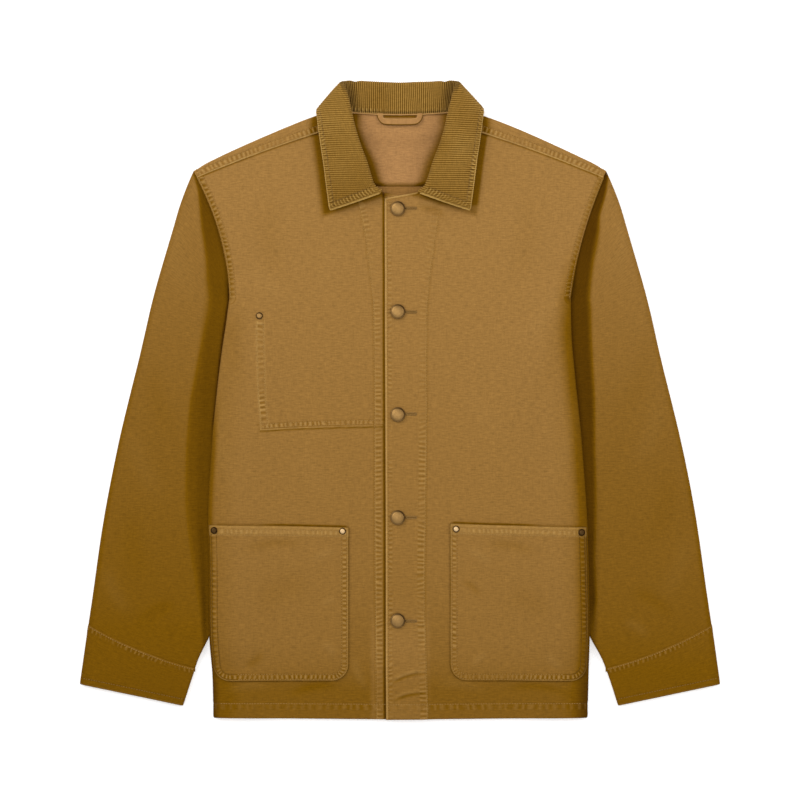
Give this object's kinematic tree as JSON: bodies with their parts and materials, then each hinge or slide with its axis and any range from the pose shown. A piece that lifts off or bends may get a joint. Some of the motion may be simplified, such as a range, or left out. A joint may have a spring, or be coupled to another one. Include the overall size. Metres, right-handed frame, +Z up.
{
  "type": "chore jacket",
  "caption": "Canvas work jacket laid flat and buttoned, with a corduroy collar, patch pockets and domed metal buttons.",
  "frame": {"origin": "on the surface that the jacket lies on, under the middle of its outline", "axes": "+Z up off the surface, towards the buttoned front; +Y from hem to collar; +X to the wearer's left"},
  "size_m": [0.7634, 0.7612, 0.0278],
  "materials": {
    "canvas": "heavy cotton canvas, matt, worn lighter along its seams",
    "canvas_inside": "the canvas's paler inner side, matt",
    "corduroy": "cotton corduroy with wales about 3 mm apart, soft pile",
    "antique_brass": "aged brass, satin, darker at its rims"
  },
  "bodies": {
    "root": {"back": "canvas", "back_yoke": "canvas", "front_left": "canvas", "front_right": "canvas", "side_turn_left": "canvas", "side_turn_right": "canvas", "sleeve_left": "canvas", "sleeve_right": "canvas", "cuff_left": "canvas", "cuff_right": "canvas", "pocket_left": "canvas", "pocket_right": "canvas", "chest_pocket": "canvas_inside", "collar": "corduroy", "hanger_loop": "canvas_inside", "button_1": "antique_brass", "button_2": "antique_brass", "button_3": "antique_brass", "button_4": "antique_brass", "button_5": "antique_brass", "rivet_1": "antique_brass", "rivet_2": "antique_brass", "rivet_3": "antique_brass", "rivet_4": "antique_brass", "rivet_5": "antique_brass"}
  },
  "joints": []
}
